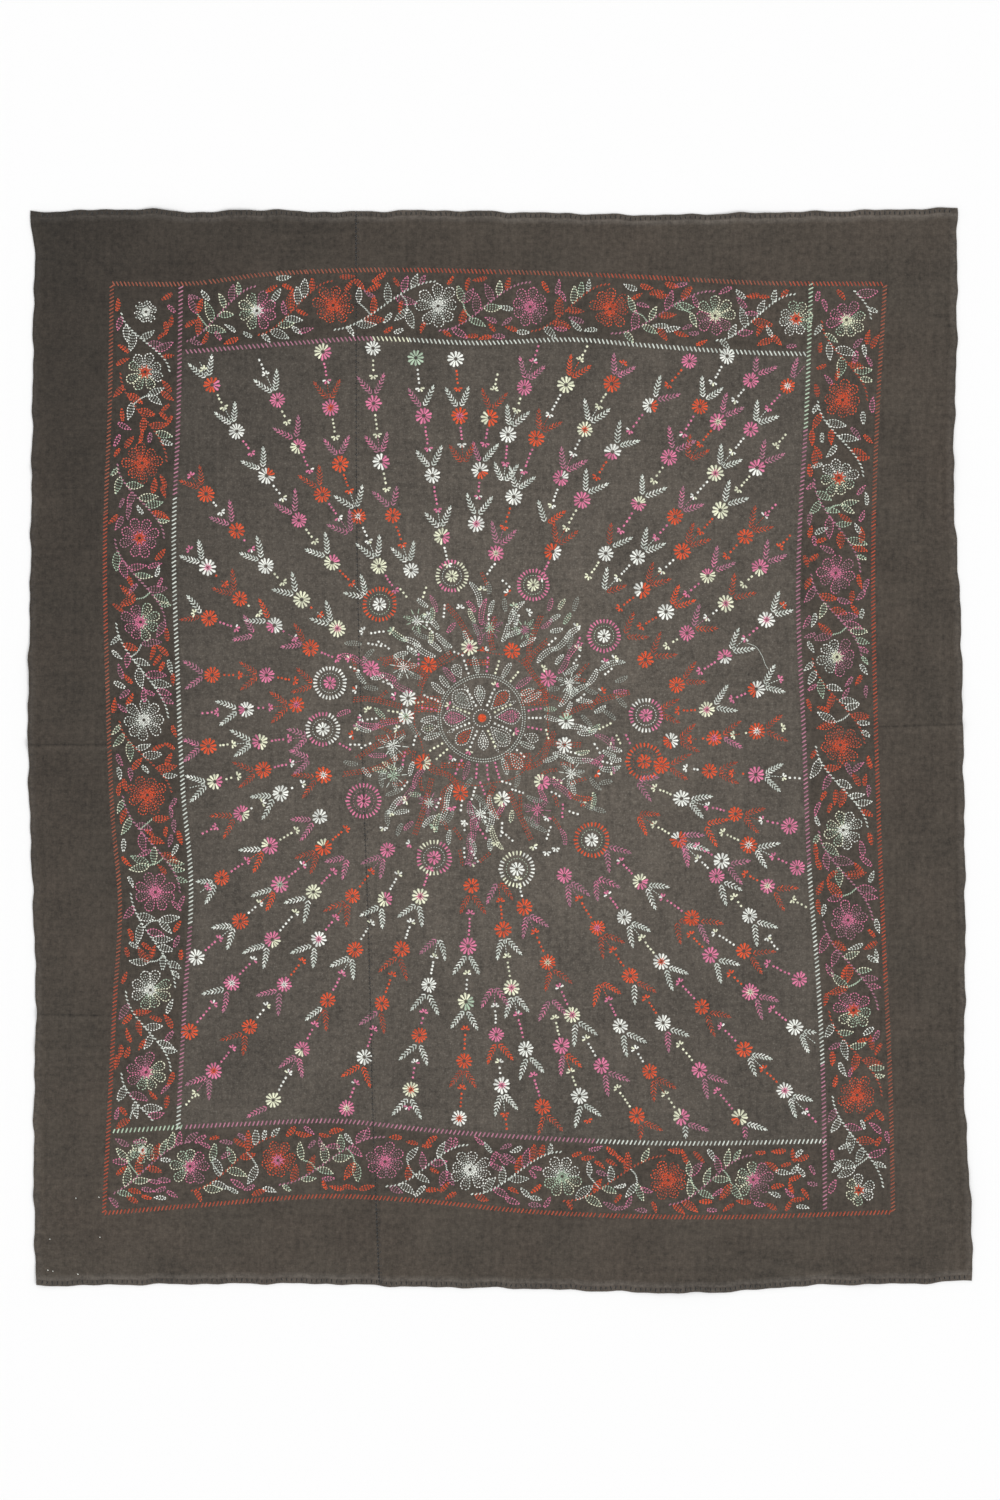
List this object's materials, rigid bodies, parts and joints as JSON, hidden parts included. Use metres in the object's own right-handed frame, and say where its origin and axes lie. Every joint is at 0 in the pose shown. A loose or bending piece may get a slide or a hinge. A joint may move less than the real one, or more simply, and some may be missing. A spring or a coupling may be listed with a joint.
{
  "type": "embroidered coverlet",
  "caption": "Flat rectangular cotton coverlet of joined hemmed panels, embroidered with a sunburst of flower sprays and floral borders, for a bed or a wall.",
  "frame": {"origin": "on the surface under the middle of the coverlet's box", "axes": "+X to the right and +Y to the top of the face as it is shown, +Z out of the embroidered face"},
  "size_m": [1.8884, 2.17, 0.0071],
  "materials": {
    "cloth": "washed plain-weave cotton, matte, faded dark grey-brown",
    "red_thread": "stranded cotton thread, soft sheen, orange-red",
    "rust_thread": "stranded cotton thread, soft sheen, faded rust",
    "pink_thread": "stranded cotton thread, soft sheen, rose pink",
    "white_thread": "stranded cotton thread, soft sheen, off-white",
    "cream_thread": "stranded cotton thread, soft sheen, pale yellow cream",
    "green_thread": "stranded cotton thread, soft sheen, pale grey-green",
    "dark_thread": "sewing thread of the seam and hems, nearly black"
  },
  "bodies": {
    "root": {"left_panel": "cloth", "right_panel": "cloth"}
  },
  "joints": []
}
